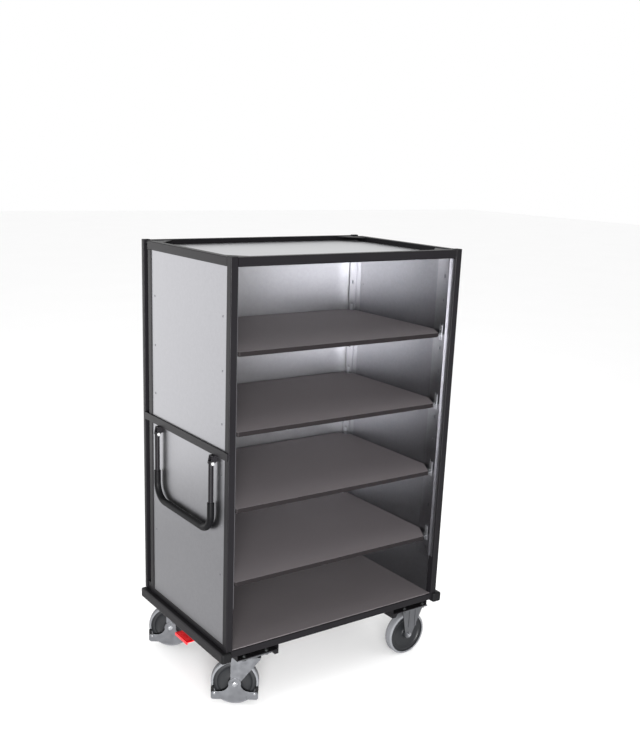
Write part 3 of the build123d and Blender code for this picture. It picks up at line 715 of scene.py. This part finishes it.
def buildPins():
    # a dimpled cap on the front end of each pin, and that end of the pin as white as the cap
    look = handleLook
    seats = [leg - look["bracketHalf"] for leg in (look["rear"], look["front"])]
    cap = domeHead("pinCap", look["capRadius"], look["capHigh"], True)
    placings = [
        placedAt(look["x"], seat - look["capLift"], look["pivot"], quarterTurn(1))
        for seat in seats
    ]
    finishPiece(spread("pinCaps", cap, placings), "frame", "whiteCap")
    pins = soften(copyNode("pinShanks", "handle_pins"), look["pinEdge"], 2)
    finishPiece(pins, "frame", "pressedZinc", "handle_pins")

    def inCap(middle, normal):
        gaps = [middle.y - seat * mm for seat in seats]
        return any(-look["capReach"] * mm < gap < 0 for gap in gaps)

    finishSome(pins, "whiteCap", inCap)


buildHandle()
buildPins()
print("push handle built")


# Wheels: moulded nylon centres with bonded rubber tyres, turned once and copied four times.
# Their outlines are half widths and radii. Inside its band a tyre is as dark as its centre.

wheelLook = {
    "centre": [
        (26.5, 6.1), (26.5, 12.5), (25.6, 13.2), (25.6, 17.0), (26.2, 17.6), (26.2, 20.4),
        (25.2, 22.0), (15.0, 23.6), (11.6, 26.4), (10.2, 32.0), (9.8, 44.0), (10.6, 58.0),
        (12.2, 66.5), (14.6, 70.2), (16.6, 72.2), (17.0, 74.0), (17.0, 82.6), (16.4, 84.0),
    ],
    "tyre": [
        (16.6, 84.05), (18.6, 84.4), (19.3, 85.6), (19.3, 87.2), (18.8, 88.0), (19.5, 88.9),
        (20.0, 90.6), (19.6, 92.8), (18.4, 95.0), (16.2, 96.8), (13.2, 97.7), (9.0, 98.0),
    ],
    "band": 87.6, "centreSteps": 96, "tyreSteps": 128, "crease": 25,
}


def wheelPlacings():
    # where each wheel's own frame goes: the middle of its axle, with Y along the axle
    placings = {}
    for end in ("front", "rear"):
        for side in ("left", "right"):
            joint = joints[f"wheel_{side}_{end}_roll"]
            axle = Vector(joint["axis"])
            turn = Matrix.Rotation(math.atan2(-axle.x, axle.y), 4, "Z")
            placings[side, end] = Matrix.Translation(joint["pos_m"]) @ turn
    return placings


def buildWheels():
    look = wheelLook
    centre = turnedPiece("wheelCentre", look["centre"], look["centreSteps"])
    tyre = turnedPiece("tyre", look["tyre"], look["tyreSteps"])
    for piece in (centre, tyre):
        smooth(piece, look["crease"])
    for (side, end), placing in wheelPlacings().items():
        body = f"wheel_{side}_{end}"
        suffix = side.capitalize() + end.capitalize()
        hub = twin(centre, "wheelCentre" + suffix, placing)
        finishPiece(hub, body, "wheelNylon", f"wheel_centre_{side}_{end}")
        ring = twin(tyre, "tyre" + suffix, placing)
        finishPiece(ring, body, "greyRubber", f"tyre_{side}_{end}")
        home = placing.inverted()

        def inBand(middle, normal):
            spot = home @ middle
            return math.hypot(spot.x, spot.z) < look["band"] * mm

        finishSome(ring, "wheelNylon", inBand)
    bpy.data.objects.remove(centre)
    bpy.data.objects.remove(tyre)


buildWheels()
print("wheels built")


# Castors: pressed forks, foot guards with their blocks and rivets, and axle bolts

castorLook = {
    "yaw": -34, "trail": 58, "axleHeight": 98, "legOuter": 31, "guardOuter": 33,
    "crease": -40.5, "creaseWide": 2.5, "creaseEdge": 0.1, "recess": 1.4, "legTop": 211.5,
    "nearFace": 0.2, "forkEdge": 0.9, "guardEdge": 0.6, "padEdge": 1.6, "boltFlats": 17,
    "boltHigh": 6.0, "boltShank": 9, "boltWasher": 1.4, "rivetRadius": 5.0, "rivetHigh": 2.2,
    "rivetAlong": 82, "rivetDrop": 44,
}


def swivelPlacing(end):
    # from a castor's own frame, X along its rolling direction, to its place under the base
    joint = joints[f"swivel_{end}_turn"]
    spot = Vector((joint["pos_m"][0], joint["pos_m"][1], 0))
    return Matrix.Translation(spot) @ Matrix.Rotation(math.radians(castorLook["yaw"]), 4, "Z")


def pressedFork():
    # the tapered part of each leg is pressed in a little behind its upright part, with a
    # narrow slope between them
    look = castorLook
    fork = copyNode("swivelFork", "swivel_fork_front")
    fork.data.transform(swivelPlacing("front").inverted())
    chooseFaces(fork, everyFace)
    for offset in (0, look["creaseWide"]):
        cut = ((look["crease"] + offset) * mm, 0, 0)
        bpy.ops.mesh.select_all(action="SELECT")
        bpy.ops.mesh.bisect(plane_co=cut, plane_no=(1, 0, 0))
    leaveEdit()
    start = (look["crease"] + look["creaseWide"] - look["creaseEdge"]) * mm
    for side in (-1, 1):
        for vertex in fork.data.vertices:
            co = vertex.co
            outer = abs(co.y * side - look["legOuter"] * mm) < look["nearFace"] * mm
            if outer and co.x > start and co.z < look["legTop"] * mm:
                co.y -= side * look["recess"] * mm
    return soften(fork, look["forkEdge"], 2)


def axlePlacing(seat, side):
    return Matrix.Translation(seat) @ quarterTurn(-side)


def buildCastors():
    look = castorLook
    fork = pressedFork()
    guard = copyNode("footGuard", "foot_guard_front")
    pads = copyNode("guardPads", "guard_pads_front")
    home = swivelPlacing("front").inverted()
    for piece in (guard, pads):
        piece.data.transform(home)
    soften(guard, look["guardEdge"], 2)
    soften(pads, look["padEdge"], 3)
    bolt = hexBolt("axleBolt", look["boltFlats"], look["boltHigh"], look["boltWasher"],
                   look["boltShank"])
    rivet = domeHead("guardRivet", look["rivetRadius"], look["rivetHigh"], False)
    axle = Vector((-look["trail"], 0, look["axleHeight"])) * mm
    boltPlacings = []
    rivetPlacings = []
    for side in (-1, 1):
        seat = axle + Vector((0, side * look["guardOuter"] * mm, 0))
        boltPlacings.append(axlePlacing(seat, side))
        for along in (-look["rivetAlong"], look["rivetAlong"]):
            spot = seat + Vector((along, 0, -look["rivetDrop"])) * mm
            rivetPlacings.append(axlePlacing(spot, side))
    fixedPlacings = []
    for end in ("front", "rear"):
        middle = Vector(joints[f"wheel_right_{end}_roll"]["pos_m"])
        for side in (-1, 1):
            seat = middle + Vector((0, side * look["legOuter"] * mm, 0))
            fixedPlacings.append(axlePlacing(seat, side))
    fixedBolts = spread("fixedAxles", twin(bolt, "fixedBolt", Matrix.Identity(4)), fixedPlacings)
    finishPiece(fixedBolts, "frame", "brightZinc", "fixed_axles")
    rivets = spread("guardRivets", rivet, rivetPlacings)
    bolts = spread("axleBolts", bolt, boltPlacings)
    for end in ("front", "rear"):
        swivelPieces = (
            (fork, "swivelFork", "pressedZinc", f"swivel_fork_{end}"),
            (guard, "footGuard", "pressedZinc", f"foot_guard_{end}"),
            (pads, "guardPads", "blackCap", f"guard_pads_{end}"),
            (rivets, "guardRivets", "brightZinc"),
            (bolts, "axleBolts", "brightZinc", f"swivel_axle_{end}"),
        )
        for piece, name, finish, *replaced in swivelPieces:
            made = twin(piece, name + end.capitalize(), swivelPlacing(end))
            finishPiece(made, f"swivel_{end}", finish, *replaced)
    for piece in (fork, guard, pads, rivets, bolts):
        bpy.data.objects.remove(piece)


buildCastors()


# Bolts and nuts that hold the castor plates under the channels, in a near-black zinc as painted
# shade

boltLook = {
    "flats": 17, "high": 6, "washer": 1.2, "shank": 10, "under": 230, "over": 238,
    "spreadX": 105, "spreadY": 80, "left": -401, "right": 430, "lines": (-302, 263),
}


def boltCastors():
    look = boltLook
    bolt = hexBolt("castorBolt", look["flats"], look["high"], look["washer"])
    nut = hexBolt("castorNut", look["flats"], look["high"], look["washer"], look["shank"])
    down = []
    up = []
    for middleX in (look["left"], look["right"]):
        for middleY in look["lines"]:
            for sideX in (-0.5, 0.5):
                for sideY in (-0.5, 0.5):
                    x = middleX + sideX * look["spreadX"]
                    y = middleY + sideY * look["spreadY"]
                    down.append(placedAt(x, y, look["under"], quarterTurn(2)))
                    up.append(placedAt(x, y, look["over"], quarterTurn(0)))
    heads = spread("boltHeads", bolt, down)
    nuts = spread("boltNuts", nut, up)
    finishPiece(joined("castorBolts", [heads, nuts]), "frame", "zincPaintedShade", "castor_bolts")


boltCastors()
print("castors built")


# Brake pedal: bent plate with raised grip bars on its tread

pedalLook = {
    "edge": 1.2, "tread": 196, "bars": 5, "firstBar": 10, "pitch": 8, "clear": 9,
    "barWidth": 3.0, "barHigh": 1.6, "barSunk": 0.4, "barTop": (0.6, 0.98, 1), "barEdge": 0.5,
}


def buildPedal():
    look = pedalLook
    pedal = soften(copyNode("pedalPlate", "brake_pedal"), look["edge"], 3)
    low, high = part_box("brake_pedal")
    size = (look["barWidth"] * mm, high.y - low.y - 2 * look["clear"] * mm, look["barHigh"] * mm)
    y = (low.y + high.y) / 2
    z = (look["tread"] + look["barHigh"] / 2 - look["barSunk"]) * mm
    bars = []
    for index in range(look["bars"]):
        x = low.x + (look["firstBar"] + index * look["pitch"]) * mm
        startFresh()
        bpy.ops.mesh.primitive_cube_add(size=1, location=(x, y, z), scale=size)
        bar = bpy.context.object
        bpy.ops.object.transform_apply(location=True, rotation=True, scale=True)
        chooseFaces(bar, topFace)
        bpy.ops.transform.resize(value=look["barTop"])
        leaveEdit()
        bars.append(soften(bar, look["barEdge"], 2))
    finishPiece(joined("brakePedal", [pedal] + bars), "brake", "redEnamel", "brake_pedal")


buildPedal()
print("brake pedal built")


# Stage: pale floor, soft studio light, camera at the photograph's place. The floor, lights
# and camera are placed in metres and degrees.

stageLook = {
    "floor": "#f8f8f8", "floorLight": "#fbfbfb", "floorRough": 0.85, "cloud": 900, "drop": 0.5,
    "size": 60, "world": "#ffffff", "worldStrength": 1.0,
}


def makeStage():
    look = stageLook
    startFresh()
    bpy.ops.mesh.primitive_plane_add(size=look["size"], location=(0, 0, -look["drop"] * mm))
    floor = bpy.context.object
    floor.name = "floor"
    material, shader, place = startMaterial("paleFloor", {"Roughness": look["floorRough"]})
    cloud = noise(material, place, look["cloud"], 2.0)["Fac"]
    colour(material, shader, cloud, look["floor"], look["floorLight"])
    floor.data.materials.append(material)
    world = bpy.data.worlds.new("studio")
    world.use_nodes = True
    background = world.node_tree.nodes["Background"]
    background.inputs["Color"].default_value = fromHex(look["world"])
    background.inputs["Strength"].default_value = look["worldStrength"]
    bpy.context.scene.world = world


lightsLook = {
    "backLeftBox": {
        "at": (-1.75, 2.2, 1.1), "aim": (-0.5, 0, 1.1), "size": (2.4, 2.1), "watts": 13,
        "spread": 110,
    },
    "frontLeftBox": {
        "at": (-2.8, -4.8, 3.1), "aim": (0, 0, 1.95), "size": (2.2, 2.0), "watts": 44,
        "spread": 58,
    },
    "lowLeftBox": {
        "at": (-3.1, -4.6, 0.75), "aim": (0.2, 0.3, 1.15), "size": (2.1, 1.3), "watts": 92,
        "spread": 52,
    },
    "topBox": {
        "at": (0.2, -0.6, 4.4), "aim": (0, 0, 1.0), "size": (3.0, 3.0), "watts": 12,
        "spread": 150,
    },
}


def makeLights():
    for name, look in lightsLook.items():
        bpy.ops.object.light_add(type="AREA", location=look["at"])
        lamp = bpy.context.object
        lamp.name = name
        aim = Vector(look["aim"]) - Vector(look["at"])
        lamp.rotation_euler = aim.to_track_quat("-Z", "Y").to_euler()
        lamp.data.shape = "RECTANGLE"
        lamp.data.size, lamp.data.size_y = look["size"]
        lamp.data.energy = look["watts"]
        lamp.data.spread = math.radians(look["spread"])


cameraLook = {
    "at": (-2.28049, -3.29481, 2.15972), "turn": (73.87283, -1.89724, -34.36191),
    "lens": 54.7598, "sensor": 36, "shift": (0.03148, 0.10946), "farthest": 100,
}


def makeCamera():
    look = cameraLook
    turn = [math.radians(value) for value in look["turn"]]
    bpy.ops.object.camera_add(location=look["at"], rotation=turn)
    camera = bpy.context.object
    camera.data.sensor_fit = "HORIZONTAL"
    camera.data.sensor_width = look["sensor"]
    camera.data.lens = look["lens"]
    camera.data.shift_x, camera.data.shift_y = look["shift"]
    camera.data.clip_end = look["farthest"]
    bpy.context.scene.camera = camera
    bpy.context.scene.view_settings.view_transform = "Standard"


makeStage()
makeLights()
makeCamera()
print("stage, lights and camera set")
